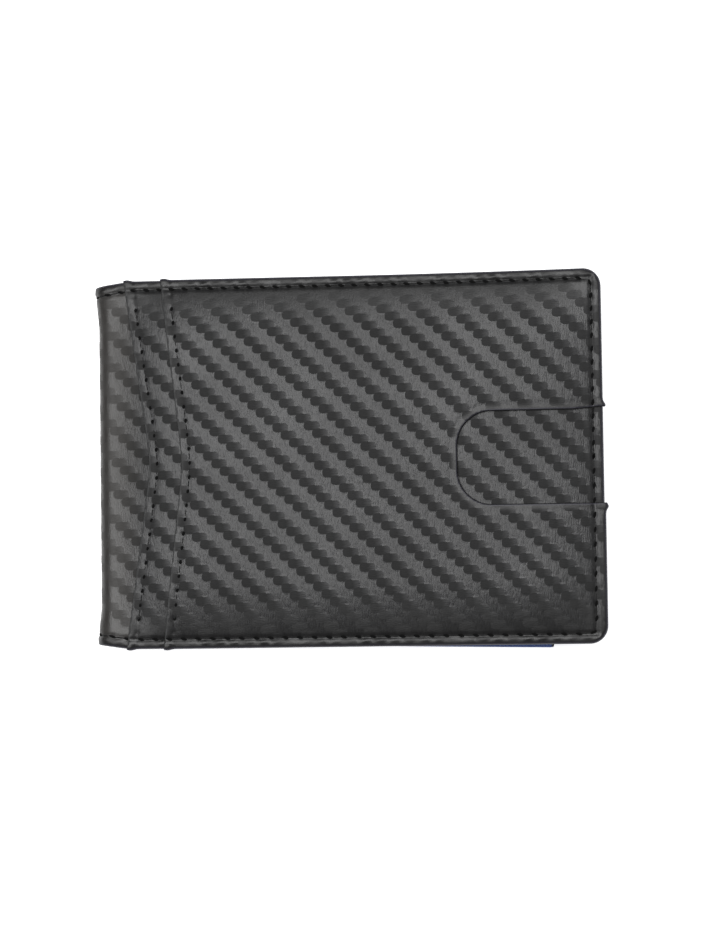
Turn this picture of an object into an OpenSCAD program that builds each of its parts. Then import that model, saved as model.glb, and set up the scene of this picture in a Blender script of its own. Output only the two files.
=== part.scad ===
// Minimalist bifold wallet: two outer card pockets on the front cover, card slots and an
// identity window inside, and a sprung note clip beside the fold.
// It lies closed on its back cover. X runs from the spine to the free edge, Y along the
// spine and Z up through the layers. The origin is the middle of the back cover's face.

/* [Wallet] */
// Length of the closed wallet, from the spine to the free edge
wallet_l = 112; // [110:1:120]
// Width of the closed wallet, along the spine
wallet_w = 82; // [80:1:90]
// Thickness of the closed wallet, over the outer pockets
wallet_t = 14; // [14:0.5:18]
// Radius of the corners at the free edge
corner_r = 4; // [3:0.5:8]
// Radius of the spine's outer bends
spine_r = 3; // [2:0.1:3]

/* [Layers] */
// Thickness of the cover leather
shell_t = 1.2; // [1:0.1:1.2]
// Thickness of an outer pocket panel
pocket_t = 0.9; // [0.7:0.1:0.9]
// Thickness of a stiffening board
board_t = 0.6; // [0.4:0.1:0.6]
// Thickness of a shielding foil
foil_t = 0.2; // [0.1:0.1:0.2]
// Thickness of the lining
lining_t = 0.5; // [0.4:0.1:0.5]
// Thickness of a card slot panel
slot_t = 0.6; // [0.4:0.1:0.6]
// Thickness of the identity window's clear film
film_t = 0.3; // [0.2:0.1:0.3]

/* [Outer pockets] */
// Distance from the spine to the lower pocket's mouth, at its ends
lower_reach = 6; // [5:0.5:7]
// How far the lower mouth bows towards the free edge
lower_bow = 5.6; // [3:0.2:6]
// Distance from the spine to the upper pocket's mouth, at its ends
upper_reach = 14.4; // [14:0.2:18]
// How far the upper mouth bows towards the free edge
upper_bow = 4.6; // [3:0.2:6]
// Roundness of a mouth's peak, as a part of half the wallet's width
mouth_soft = 0.07; // [0.02:0.01:0.3]
// Length of the thumb notch in the upper pocket
notch_l = 32; // [24:1:40]
// Width of the thumb notch
notch_w = 20.4; // [18:0.2:24]
// Radius of the thumb notch's inner corners
notch_r = 7.5; // [4:0.5:8.5]

/* [Seams] */
// Distance from a cover's edge to its seam
seam_inset = 2.2; // [2:0.1:2.6]
// Distance from a pocket's mouth to its seam
mouth_inset = 1.9; // [1.6:0.1:2.2]
// Length from one stitch to the next
stitch_pitch = 2.9; // [2.6:0.1:3.4]
// Length of one stitch
stitch_l = 1.9; // [1.4:0.1:2.2]
// Width of the thread
thread_w = 0.5; // [0.4:0.1:0.6]

/* [Card slots] */
// Length of the back cover's card slots
slot_l = 89; // [88:0.5:90]
// Width of the longest card slot panel
slot_w = 70; // [64:1:72]
// Step from one card slot's mouth to the next
slot_step = 11; // [8:1:13]
// Length of the identity window's frame
id_l = 94; // [90:1:94]
// Width of the identity window's frame
id_w = 72; // [66:1:74]
// Width of the frame's border around the window
id_border = 12; // [9:1:14]
// Angle at which the frame was sewn in askew
id_skew = 1.1; // [0:0.1:1.2]

/* [Note clip] */
// Length of the clip's arm, from its pin to its lip
arm_l = 12; // [10:0.5:12]
// Width of the arm, along the spine
arm_w = 60; // [50:1:60]
// Thickness of the arm's sheet steel
arm_t = 0.7; // [0.5:0.1:0.7]
// Thickness of the base plate
base_t = 0.8; // [0.6:0.1:0.8]
// Radius of the hinge's knuckles
knuckle_r = 1.4; // [1.3:0.1:1.5]
// Radius of the hinge pin
pin_r = 0.8; // [0.6:0.1:0.8]
// Number of turns in the spring
spring_turns = 11; // [6:1:11]

/* [Hidden] */
$fn = 48;
eps = 0.01;

half_l = wallet_l / 2;
half_w = wallet_w / 2;

// Heights of the back wing's layers, from the bottom up
z_back_board = shell_t;
z_back_foil = z_back_board + board_t;
z_back_lining = z_back_foil + foil_t;
z_back_inside = z_back_lining + lining_t;

// Heights of the front wing's layers, from the top down
z_upper = wallet_t - pocket_t;
z_lower = z_upper - pocket_t;
z_front_shell = z_lower - shell_t;
z_front_board = z_front_shell - board_t;
z_front_foil = z_front_board - foil_t;
z_front_lining = z_front_foil - lining_t;
z_front_slot_1 = z_front_lining - slot_t;
z_front_slot_2 = z_front_slot_1 - slot_t;
z_film = z_front_slot_2 - film_t;
z_frame = z_film - slot_t;

// Where the spine's bends end and the two covers begin
bend_end = -half_l + spine_r;
fold_gap = 0.7;
cover_start = bend_end + fold_gap;
inner_start = cover_start + 0.3;
inner_inset = 0.6;
board_inset = seam_inset + 1.2;
foil_inset = seam_inset + 1;
through = 1;

// Identity frame: its lower outer corner hangs just past the covers' lower edge
id_end = half_l - 11.5;
id_drop = 0.8;
id_corner_r = 2;
film_lap = 3;

// Slots
slot_end = half_l - 3;
slot_foot = half_w - 1.2;
slot_corner_r = 2;
front_slot_start = -half_l + 6.5;
front_slot_l = 100;
front_slot_w = wallet_w - 5;
front_slot_step = slot_step / 2;

// Stitches
thread_h = 0.25;
groove_h = 0.3;
groove_w = 0.7;
seam_start = cover_start + 1.2;
mouth_steps = 28;

// Note clip
pin_x = -half_l + 7;
pin_z = z_back_inside + 1.7;
arm_gap = 0.4;
arm_z = z_back_inside + base_t + arm_gap;
hinge_gap = 0.3;
window_w = 8;
inner_knuckle_end = 24.7;
outer_knuckle_end = 29;
base_w = 70;
base_end = pin_x + arm_l + 0.2;
plate_corner_r = 1.5;
tab_l = 4;
pin_stub = 0.2;
lip_r = 0.25;
lip_inset = 2;
bore_r = pin_r + 0.05;
rivet_x = pin_x + 6;
rivet_y = base_w / 2 - 2.5;
rivet_head_r = 2.1;
rivet_r = 1;
rivet_hole_r = rivet_r + 0.1;
rivet_head_h = 0.7;
burr_hole_r = rivet_head_r + 0.2;
wire_r = 0.22;
coil_r = pin_r + 0.15 + wire_r;
coil_sides = 6;
coil_steps = 12;
coil_pitch = 0.5;
back_leg_l = 2.8;
hook_leg_l = 3;
hook_z = arm_z + arm_t + wire_r + 0.05;

carbon_black = [0.10, 0.10, 0.11];
pocket_black = [0.14, 0.14, 0.15];
royal_blue = [0.13, 0.20, 0.45];
slot_blue = [0.17, 0.26, 0.55];

// Where a pocket's mouth is at width y: a shallow V with a soft peak
function mouth_x(reach, bow, y) =
    let (top = sqrt(1 + mouth_soft * mouth_soft))
    let (t = y / half_w)
    -half_l + reach + bow * (top - sqrt(t * t + mouth_soft * mouth_soft)) / (top - mouth_soft);

function mouth_points(reach, bow) =
    [for (i = [0 : mouth_steps])
        let (y = half_w * (1 - 2 * i / mouth_steps))
        [mouth_x(reach, bow, y), y]];

function in_notch(x, y) = x > half_l - notch_l && abs(y) < notch_w / 2;

// Height of the front wing's outer face at a point
function face_z(x, y) =
    x < mouth_x(lower_reach, lower_bow, y) ? z_lower
    : x < mouth_x(upper_reach, upper_bow, y) || in_notch(x, y) ? z_upper
    : wallet_t;

// Rectangle with its lower left corner at the origin and four round corners
module rounded(l, w, r) {
    translate([r, 0]) square([l - 2 * r, w]);
    translate([0, r]) square([l, w - 2 * r]);
    for (x = [r, l - r])
        for (y = [r, w - r])
            translate([x, y]) circle(r);
}

// Outline of a wing from start to the free edge, made smaller by inset
module wing_outline(start, inset = 0) {
    x1 = half_l - inset;
    y1 = half_w - inset;
    r = corner_r - inset;
    translate([start, -y1]) square([x1 - r - start, 2 * y1]);
    translate([start, r - y1]) square([x1 - start, 2 * (y1 - r)]);
    for (side = [-1, 1])
        translate([x1 - r, side * (y1 - r)]) circle(r);
}

module wing_layer(z, t, start, inset = 0) {
    translate([0, 0, z]) linear_extrude(height = t) wing_outline(start, inset);
}

module pocket_panel(z, reach, bow) {
    translate([0, 0, z]) linear_extrude(height = pocket_t) intersection() {
        wing_outline(-half_l);
        polygon(concat(
            mouth_points(reach, bow),
            [[half_l + through, -half_w], [half_l + through, half_w]]
        ));
    }
}

// One stitch lying flat with its middle at a point, turned by an angle
module stitch(x, y, z, turn) {
    translate([x, y, z]) rotate(turn)
        translate([-stitch_l / 2, -thread_w / 2, 0]) cube([stitch_l, thread_w, thread_h]);
}

// A stitch on the front wing's outer face, lifted clear of any panel edge under it
module face_stitch(x, y, turn) {
    dx = cos(turn) * stitch_l / 2;
    dy = sin(turn) * stitch_l / 2;
    stitch(x, y, max(face_z(x - dx, y - dy), face_z(x + dx, y + dy)), turn);
}

// Seam along three edges of a cover; on_face puts it on the front wing's face
module edge_seam(on_face) {
    run_x = half_l - corner_r - seam_start;
    run_y = wallet_w - 2 * corner_r;
    count_x = floor(run_x / stitch_pitch);
    count_y = floor(run_y / stitch_pitch);
    corner_c = (corner_r - seam_inset) * sqrt(0.5);
    for (side = [-1, 1]) {
        for (i = [0 : count_x - 1])
            edge_stitch(on_face, seam_start + (i + 0.5) * run_x / count_x, side * (half_w - seam_inset), 0);
        corner_x = half_l - corner_r + corner_c;
        corner_y = half_w - corner_r + corner_c;
        edge_stitch(on_face, corner_x, side * corner_y, -45 * side);
    }
    for (i = [0 : count_y - 1])
        edge_stitch(on_face, half_l - seam_inset, (i + 0.5) * run_y / count_y - run_y / 2, 90);
}

module edge_stitch(on_face, x, y, turn) {
    if (on_face) face_stitch(x, y, turn);
    else stitch(x, y, groove_h - thread_h, turn);
}

// Seam beside a pocket's mouth, following its bow
module mouth_seam(reach, bow, z) {
    run = wallet_w - 2 * seam_inset - 2 * stitch_l;
    count = floor(run / stitch_pitch);
    for (i = [0 : count - 1]) {
        y = (i + 0.5) * run / count - run / 2;
        x = mouth_x(reach, bow, y) + mouth_inset;
        slope = atan2(stitch_l, mouth_x(reach, bow, y + stitch_l) - mouth_x(reach, bow, y));
        stitch(x, y, z, slope);
    }
}

// Round bar along the pin's axis, from y over length h
module pin_bar(r, y, h) {
    translate([pin_x, y, pin_z]) rotate([-90, 0, 0]) cylinder(r = r, h = h);
}

module rivet_holes(r, z, h) {
    for (side = [-1, 1])
        translate([rivet_x, side * rivet_y, z - eps]) cylinder(r = r, h = h + 2 * eps);
}

// ---- Back wing

module shell_back() {
    color(carbon_black) difference() {
        wing_layer(0, shell_t, cover_start);
        translate([0, 0, -through]) linear_extrude(height = through + groove_h) difference() {
            wing_outline(seam_start, seam_inset - groove_w / 2);
            wing_outline(seam_start - through, seam_inset + groove_w / 2);
        }
    }
}

module board_back() {
    color("tan") difference() {
        wing_layer(z_back_board, board_t, inner_start, board_inset);
        rivet_holes(burr_hole_r, z_back_board, board_t);
    }
}

module foil_back() {
    color("silver") difference() {
        wing_layer(z_back_foil, foil_t, inner_start, foil_inset);
        rivet_holes(rivet_hole_r, z_back_foil, foil_t);
    }
}

module lining_back() {
    color(royal_blue) difference() {
        wing_layer(z_back_lining, lining_t, inner_start, inner_inset);
        rivet_holes(rivet_hole_r, z_back_lining, lining_t);
    }
}

// Card slot panel: number 1 is the deepest and the widest
module slot_back(number) {
    color(slot_blue)
        translate([slot_end - slot_l, -slot_foot, z_back_inside + (number - 1) * slot_t])
            linear_extrude(height = slot_t)
                rounded(slot_l, slot_w - (number - 1) * slot_step, slot_corner_r);
}

module thread_back_edge() {
    color("black") edge_seam(false);
}

module clip_base() {
    color("gainsboro") difference() {
        union() {
            translate([pin_x + knuckle_r + 2 * hinge_gap, -base_w / 2, z_back_inside])
                linear_extrude(height = base_t)
                    rounded(base_end - pin_x - knuckle_r - 2 * hinge_gap, base_w, plate_corner_r);
            for (side = [-1, 1]) {
                tab_w = outer_knuckle_end - inner_knuckle_end - hinge_gap;
                tab_y = side > 0 ? inner_knuckle_end + hinge_gap : -outer_knuckle_end;
                translate([pin_x, tab_y, z_back_inside]) cube([tab_l, tab_w, base_t]);
                pin_bar(knuckle_r, tab_y, tab_w);
            }
        }
        pin_bar(bore_r, -base_w / 2, base_w);
        rivet_holes(rivet_hole_r, z_back_inside, base_t);
    }
}

module clip_pin() {
    color("silver") pin_bar(pin_r, -outer_knuckle_end - pin_stub, 2 * (outer_knuckle_end + pin_stub));
}

// Two rivets, each with a head on the base plate and a burr under the foil
module clip_rivets() {
    color("silver") for (side = [-1, 1])
        translate([rivet_x, side * rivet_y, 0]) {
            translate([0, 0, z_back_board]) cylinder(r = rivet_head_r, h = board_t);
            translate([0, 0, z_back_board])
                cylinder(r = rivet_r, h = z_back_inside + base_t - z_back_board);
            translate([0, 0, z_back_inside + base_t]) cylinder(r = rivet_head_r, h = rivet_head_h);
        }
}

// Torsion spring wound on the pin: one leg lies on the lining, the other hooks over the arm.
// The coil stops a quarter turn short, so that the hook rises on the arm's side of the pin.
module clip_spring() {
    steps = (spring_turns - 0.25) * coil_steps;
    start_y = -spring_turns * coil_pitch / 2;
    end_y = start_y + steps * coil_pitch / coil_steps;
    hook_x = pin_x + coil_r;
    ring = [for (i = [0 : steps]) for (j = [0 : coil_sides - 1])
        let (a = -90 + i * 360 / coil_steps)
        let (b = j * 360 / coil_sides)
        let (r = coil_r + wire_r * cos(b))
        [pin_x + r * cos(a), start_y + i * coil_pitch / coil_steps + wire_r * sin(b), pin_z + r * sin(a)]];
    sides = [for (i = [0 : steps - 1]) for (j = [0 : coil_sides - 1])
        let (k = (j + 1) % coil_sides)
        [i * coil_sides + j, (i + 1) * coil_sides + j, (i + 1) * coil_sides + k, i * coil_sides + k]];
    ends = [
        [for (j = [0 : coil_sides - 1]) j],
        [for (j = [coil_sides - 1 : -1 : 0]) steps * coil_sides + j]
    ];
    color("dimgray") {
        polyhedron(ring, concat(sides, ends));
        translate([pin_x, start_y, pin_z - coil_r]) rotate([0, -90, 0])
            cylinder(r = wire_r, h = back_leg_l);
        translate([hook_x, end_y, pin_z]) cylinder(r = wire_r, h = hook_z - pin_z);
        translate([hook_x, end_y, hook_z]) sphere(wire_r);
        translate([hook_x, end_y, hook_z]) rotate([0, 90, 0])
            cylinder(r = wire_r, h = hook_leg_l);
    }
}

// ---- Clip arm

module clip_arm() {
    plate_x = pin_x + knuckle_r + hinge_gap;
    knuckle_l = inner_knuckle_end - window_w / 2;
    color("gainsboro") difference() {
        union() {
            translate([plate_x, -arm_w / 2, arm_z]) linear_extrude(height = arm_t)
                rounded(pin_x + arm_l - plate_x, arm_w, plate_corner_r);
            for (y = [-inner_knuckle_end, window_w / 2]) {
                translate([pin_x, y, arm_z]) cube([tab_l, knuckle_l, arm_t]);
                pin_bar(knuckle_r, y, knuckle_l);
            }
            translate([pin_x + arm_l - lip_inset, lip_inset - arm_w / 2, arm_z]) rotate([-90, 0, 0])
                cylinder(r = lip_r, h = arm_w - 2 * lip_inset);
        }
        pin_bar(bore_r, -arm_w / 2, arm_w);
    }
}

// ---- Spine

// Section of the spine leather: flat on the outside, bent inwards at both covers
module spine_section(r, x, z0, z1) {
    translate([x, z0 + r]) square([2 * r, z1 - z0 - 2 * r]);
    translate([x + r, z0]) square([r, z1 - z0]);
    for (z = [z0 + r, z1 - r])
        translate([x + r, z]) circle(r);
}

module shell_spine() {
    color(carbon_black) rotate([90, 0, 0]) linear_extrude(height = wallet_w, center = true)
        intersection() {
            difference() {
                spine_section(spine_r, -half_l, 0, z_lower);
                spine_section(spine_r - shell_t, -half_l + shell_t, shell_t, z_front_shell);
            }
            translate([-half_l, 0]) square([spine_r, z_lower]);
        }
}

module lining_spine() {
    color(royal_blue) translate([-half_l + shell_t, -half_w + inner_inset, spine_r])
        cube([lining_t, wallet_w - 2 * inner_inset, z_lower - 2 * spine_r]);
}

// ---- Front wing

module shell_front() {
    color(carbon_black) wing_layer(z_front_shell, shell_t, cover_start);
}

module pocket_lower() {
    color(pocket_black) pocket_panel(z_lower, lower_reach, lower_bow);
}

module pocket_upper() {
    color(carbon_black) difference() {
        pocket_panel(z_upper, upper_reach, upper_bow);
        translate([half_l - notch_l, -notch_w / 2, z_upper - through])
            linear_extrude(height = pocket_t + 2 * through)
                rounded(notch_l + notch_w, notch_w, notch_r);
    }
}

module board_front() {
    color("tan") wing_layer(z_front_board, board_t, inner_start, board_inset);
}

module foil_front() {
    color("silver") wing_layer(z_front_foil, foil_t, inner_start, foil_inset);
}

module lining_front() {
    color(royal_blue) wing_layer(z_front_lining, lining_t, inner_start, inner_inset);
}

module slot_front(number, z) {
    color(slot_blue) translate([front_slot_start, -slot_foot, z])
        linear_extrude(height = slot_t)
            rounded(front_slot_l, front_slot_w - (number - 1) * front_slot_step, slot_corner_r);
}

// Places a flat shape on the identity frame's own skewed rectangle
module on_id_frame(z, t) {
    translate([id_end, -half_w - id_drop, z]) rotate(-id_skew)
        translate([-id_l, 0, 0]) linear_extrude(height = t) children();
}

module id_film() {
    lap = id_border - film_lap;
    color("lightcyan") on_id_frame(z_film, film_t)
        translate([lap, lap]) rounded(id_l - 2 * lap, id_w - 2 * lap, id_corner_r);
}

module id_frame() {
    color(slot_blue) on_id_frame(z_frame, slot_t) difference() {
        rounded(id_l, id_w, id_corner_r);
        translate([id_border, id_border])
            rounded(id_l - 2 * id_border, id_w - 2 * id_border, id_corner_r);
    }
}

module thread_front_edge() {
    color("black") edge_seam(true);
}

module thread_pocket_lower() {
    color("black") mouth_seam(lower_reach, lower_bow, z_upper);
}

module thread_pocket_upper() {
    color("black") mouth_seam(upper_reach, upper_bow, wallet_t);
}

shell_back();
board_back();
foil_back();
lining_back();
slot_back(1);  // slot_back_1
slot_back(2);  // slot_back_2
slot_back(3);  // slot_back_3
thread_back_edge();
clip_base();
clip_pin();
clip_rivets();
clip_spring();
clip_arm();
shell_spine();
lining_spine();
shell_front();
pocket_lower();
pocket_upper();
board_front();
foil_front();
lining_front();
slot_front(1, z_front_slot_1);  // slot_front_1
slot_front(2, z_front_slot_2);  // slot_front_2
id_film();
id_frame();
thread_front_edge();
thread_pocket_lower();
thread_pocket_upper();
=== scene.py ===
# %% [markdown]
# # A slim bifold wallet
# The wallet lies closed on its back cover. X runs from the spine to the free edge, Y along the spine and
# Z up through the layers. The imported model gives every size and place; this script gives every visible
# piece its worked surface: embossed leather, painted edges, thread, blue lining and spring steel.

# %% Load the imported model
import math

import bmesh
import bpy
import numpy as np
from mathutils import Matrix, Vector


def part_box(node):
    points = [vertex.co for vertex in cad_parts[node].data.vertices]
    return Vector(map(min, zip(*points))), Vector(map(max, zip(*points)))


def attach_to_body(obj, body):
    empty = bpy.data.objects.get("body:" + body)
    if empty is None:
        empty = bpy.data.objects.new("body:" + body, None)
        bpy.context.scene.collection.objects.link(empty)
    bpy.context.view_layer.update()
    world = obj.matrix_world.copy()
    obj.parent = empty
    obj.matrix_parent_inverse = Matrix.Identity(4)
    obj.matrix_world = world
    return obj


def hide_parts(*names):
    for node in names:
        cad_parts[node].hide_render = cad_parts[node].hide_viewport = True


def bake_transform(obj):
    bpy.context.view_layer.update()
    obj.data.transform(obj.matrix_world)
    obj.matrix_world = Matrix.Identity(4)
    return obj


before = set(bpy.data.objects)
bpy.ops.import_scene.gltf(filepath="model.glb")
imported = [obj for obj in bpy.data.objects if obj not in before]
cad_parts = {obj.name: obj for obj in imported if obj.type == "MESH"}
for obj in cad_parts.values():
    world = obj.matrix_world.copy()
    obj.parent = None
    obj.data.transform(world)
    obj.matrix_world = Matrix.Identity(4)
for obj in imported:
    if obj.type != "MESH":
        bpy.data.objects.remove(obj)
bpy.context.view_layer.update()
scene = bpy.context.scene
mm = 0.001

# %% [markdown]
# ## Sizes
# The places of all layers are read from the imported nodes, so that a new size of the wallet moves them too.
# Only the bow of the pocket mouths and the thumb notch are stated again, because a box can't give them.

# %% Read the layers
half_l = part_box("pocket_upper")[1].x
half_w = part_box("pocket_upper")[1].y
spine_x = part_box("shell_spine")[0].x
bend_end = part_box("shell_spine")[1].x
shell_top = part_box("shell_spine")[1].z
shell_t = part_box("shell_back")[1].z
pocket_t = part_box("pocket_upper")[1].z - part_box("pocket_upper")[0].z
corner_r = 4 * mm
spine_r = bend_end - spine_x
middle_z = shell_top / 2
lower_mouth = dict(reach=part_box("pocket_lower")[0].x, bow=5.6 * mm)
upper_mouth = dict(reach=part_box("pocket_upper")[0].x, bow=4.6 * mm)
mouth_soft = 0.07
spread_share = 0.013
notch_l, notch_w, notch_r = 32 * mm, 20.4 * mm, 7.5 * mm
notch_flare, flare_run = 0.5 * mm, 7 * mm
seam_inset = 2.2 * mm
mouth_inset = 1.9 * mm
stitch_pitch, mouth_pitch = 2.9 * mm, 3.12 * mm
print(f"closed wallet {2 * half_l / mm:.0f} by {2 * half_w / mm:.0f} by {shell_top / mm:.1f} mm at the spine")

# %% [markdown]
# ## Outlines as distances
# A leather panel is cut along a line. The most useful way to hold such a line is a function that says how
# far a point lies outside it. With it a fine grid can be trimmed to the line, the cut edge can be rounded
# and painted, and the pressed border can fade into the pattern, all from the same few numbers.

# %% Distance functions
def ease(t):
    """Soft step from 0 to 1."""
    t = np.clip(t, 0, 1)
    return t * t * (3 - 2 * t)


def swell(t):
    """Rises steeply from 0 and levels off at 1."""
    return 1 - (1 - np.clip(t, 0, 1)) ** 2


def bell(t):
    return np.exp(-t * t)


def round_corner(px, py, r):
    """Distance outside a corner of radius r, from the distances past its two inner lines."""
    return np.where((px > 0) & (py > 0), np.hypot(px, py), np.maximum(px, py)) - r


def widened(x, y):
    """The full pockets have spread the leather a little at the free edge, on one long side."""
    return y * (1 + spread_share * np.clip(x / half_l, 0, 1) ** 2 * (y > 0))


def mouth_x(y, reach, bow):
    """Where a pocket's mouth lies: a shallow V with a soft peak."""
    top = math.sqrt(1 + mouth_soft ** 2)
    return reach + bow * (top - np.sqrt((y / half_w) ** 2 + mouth_soft ** 2)) / (top - mouth_soft)


def free_outline(x, y, right=half_l, wide=half_w):
    """Distance outside the three outer edges of a wing, with its round corners."""
    return round_corner(x - (right - corner_r), np.abs(y) - (wide - corner_r), corner_r)


def notch_outline(x, y):
    """Distance outside the thumb notch, whose one side opens a little at the free edge."""
    flare = notch_flare * ease((x - half_l + flare_run) / flare_run) * (y > 0)
    return round_corner(half_l - notch_l + notch_r - x, np.abs(y) - (notch_w / 2 + flare - notch_r), notch_r)


def box_outline(x, y, low, high, r):
    """Distance outside a rectangle with round corners."""
    px = np.abs(x - (low.x + high.x) / 2) - (high.x - low.x) / 2 + r
    py = np.abs(y - (low.y + high.y) / 2) - (high.y - low.y) / 2 + r
    return round_corner(px, py, r)


# %% [markdown]
# ## The pillow of the front cover
# The card pockets are full and thick in the middle, and the seam pulls the layers together at the edges.
# So the cover rises steeply from each seam and is level after about a centimetre.

# %% Pillow height
crown_h = 1.5 * mm
crown_run = 13 * mm
spine_run = 14 * mm
free_end_share = 0.4


def crown(x, y):
    from_side = swell((half_w - seam_inset - np.abs(y)) / crown_run)
    from_free = swell((half_l - seam_inset - x) / crown_run)
    from_spine = ease((x - bend_end) / spine_run)
    return crown_h * from_side * (free_end_share + (1 - free_end_share) * from_free) * from_spine


# %% [markdown]
# ## The embossed weave
# The leather is stamped with a 2 by 2 twill. Every cell of the lattice shows either an upright tow or a
# lying one, and the choice steps by one cell per row, which draws the diagonals. The lying tows stand up
# as small beads that overlap like scales. The stamping is real relief, so it is in the mesh; the hair-thin
# fibre lines are too fine for that and go into the material, which reads the same lattice from the UV map.

# %% Twill relief
tow_x, tow_y = 1.745 * mm, 1.77 * mm
weave_turn = math.radians(2.55)
bead_h = 0.15 * mm
warp_h = 0.05 * mm
bead_tall = 1.2
weave_x, weave_y = 1.1 * mm, 0.2 * mm
left_power, right_power, tall_power = 3.4, 2.6, 2.8
right_share = 0.95
tucked_share = 0.6


def weave_uv(x, y):
    """Lattice coordinates, counted in tows."""
    x, y = x - weave_x, y - weave_y
    u = (x * math.cos(weave_turn) + y * math.sin(weave_turn)) / tow_x
    v = (y * math.cos(weave_turn) - x * math.sin(weave_turn)) / tow_y
    return u, v


def bead(along, across):
    """One lying tow: a round-cornered bar, a little taller than its cell, that sinks at its right end."""
    end = np.where(along < 0, np.abs(along) ** left_power, right_share * np.abs(along) ** right_power)
    return np.sqrt(np.clip(1 - np.abs(across / bead_tall) ** tall_power - end, 0, 1))


def twill(x, y):
    """Height of the stamping. In each row, k counts the four cells: two upright, two of a lying tow."""
    u, v = weave_uv(x, y)
    k = np.mod(np.floor(u) + np.floor(v), 4)
    fu, fv = u - np.floor(u), v - np.floor(v)
    own = np.where(k >= 2, bead(k - 3 + fu, 2 * fv - 1), 0)
    upper = bead(np.where(k == 2, fu, fu - 1), 2 * fv - 3)
    lower = bead(fu - 1, 2 * fv + 1)
    cases = [k == 0, k == 1, (k == 2) & (own > 0), k == 2, lower > 0]
    heights = [0 * u, upper, own, tucked_share * upper, lower]
    lying = np.select(cases, heights, own)
    upright = warp_h * (1 - (2 * fu - 1) ** 6) * (1 - 0.5 * (k - 1 + fv) ** 4)
    return np.where((k < 2) & (lying == 0), upright, bead_h * lying)


# %% [markdown]
# ## From grid to leather panel
# A panel starts as a plain grid. Faces outside the outline go, the border vertices slide onto the line, and
# a narrow inset gives the cut edge an even rim to round. Extruding the whole sheet gives it its thickness.

# %% Panel builder
def column(points, axis):
    return np.array([p[axis] for p in points])


def trimmed_grid(outline, low, high, step):
    """A grid from low to high, cut along outline(x, y) = 0 by sliding its border on to the line."""
    size = (high[0] - low[0], high[1] - low[1])
    place = Matrix.Translation(((low[0] + high[0]) / 2, (low[1] + high[1]) / 2, 0))
    bm = bmesh.new()
    bmesh.ops.create_grid(
        bm, x_segments=round(size[0] / step), y_segments=round(size[1] / step), size=0.5,
        matrix=place @ Matrix.Diagonal((size[0], size[1], 1, 1)),
    )
    centres = [f.calc_center_median() for f in bm.faces]
    far = outline(column(centres, 0), column(centres, 1)) > 0
    bmesh.ops.delete(bm, geom=[f for f, out in zip(bm.faces[:], far) if out], context="FACES")
    border = [v for v in bm.verts if v.is_boundary]
    x, y = column([v.co for v in border], 0), column([v.co for v in border], 1)
    nudge = step / 50
    for _ in range(3):
        d = outline(x, y)
        gx = (outline(x + nudge, y) - outline(x - nudge, y)) / (2 * nudge)
        gy = (outline(x, y + nudge) - outline(x, y - nudge)) / (2 * nudge)
        g = np.maximum(gx * gx + gy * gy, 0.25)
        x, y = x - d * gx / g, y - d * gy / g
    for vertex, vx, vy in zip(border, x, y):
        vertex.co.x, vertex.co.y = vx, vy
    bmesh.ops.remove_doubles(bm, verts=border, dist=step * 0.3)
    return bm


def slab(bm, thickness, rim=0.18 * mm, plain_back=True):
    """Gives the sheet its thickness: the face at z = thickness, the back at z = 0, plain or with its grid."""
    bmesh.ops.inset_region(bm, faces=bm.faces[:], thickness=rim, use_even_offset=True, use_boundary=True)
    made = bmesh.ops.extrude_face_region(bm, geom=bm.faces[:])
    top = [g for g in made["geom"] if isinstance(g, bmesh.types.BMVert)]
    bmesh.ops.translate(bm, verts=top, vec=(0, 0, thickness))
    if plain_back:
        back = [f for f in bm.faces if all(v.co.z < thickness / 2 for v in f.verts)]
        bmesh.ops.dissolve_faces(bm, faces=back, use_verts=False)
    bmesh.ops.delete(bm, geom=[v for v in bm.verts if not v.link_faces], context="VERTS")
    return bm


def finish_mesh(bm, name):
    mesh = bpy.data.meshes.new(name)
    bm.to_mesh(mesh)
    bm.free()
    mesh.shade_smooth()
    mesh.set_sharp_from_angle(angle=math.radians(60))
    piece = bpy.data.objects.new(name, mesh)
    scene.collection.objects.link(piece)
    return piece


def places(mesh):
    """All vertices as three arrays: x, y and z."""
    co = np.zeros(len(mesh.vertices) * 3)
    mesh.vertices.foreach_get("co", co)
    return co.reshape(-1, 3).T


def put_places(mesh, x, y, z):
    mesh.vertices.foreach_set("co", np.column_stack((x, y, z)).astype(np.float32).ravel())
    mesh.update()


def add_layer(mesh, name, values):
    layer = mesh.attributes.new(name, "FLOAT", "POINT")
    layer.data.foreach_set("value", np.asarray(values, np.float32))


def add_uv(mesh, u, v):
    """Writes one UV place per vertex."""
    layer = mesh.uv_layers.new(name="UVMap")
    vertex = np.zeros(len(mesh.loops), np.int32)
    mesh.loops.foreach_get("vertex_index", vertex)
    layer.data.foreach_set("uv", np.column_stack((u[vertex], v[vertex])).astype(np.float32).ravel())


# %% [markdown]
# ## Edges and seams
# Outer edges are rubbed round and painted, and seen across they fall as a quarter circle. Beside them the
# seam pulls a groove, each needle hole a dimple, and the leather swells up between groove and edge, most of
# all half-way between two holes. A hand-guided seam is never quite even, so the swelling wanders.

# %% Edge and seam relief
outer_r = 0.7 * mm
mouth_r = 0.28 * mm
seam_start = bend_end - 3.4 * mm
seam_r = corner_r - seam_inset
side_l = half_l - corner_r - seam_start
round_l = seam_r * math.pi / 2
seam_l = side_l + round_l + half_w - corner_r
long_pitch = 3.2 * mm
narrow_by, narrow_from, narrow_run = 0.9 * mm, bend_end + 5 * mm, 9 * mm
seam_narrows = 1.3
groove_w, ridge_w, ridge_inset = 0.45 * mm, 0.33 * mm, 1.35 * mm


def edge_drop(inside, r):
    """How far the face drops at a distance inside an edge rounded by r."""
    t = 1 - np.clip(inside / r, 0, 1)
    return r * (1 - np.sqrt(1 - t * t))


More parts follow.
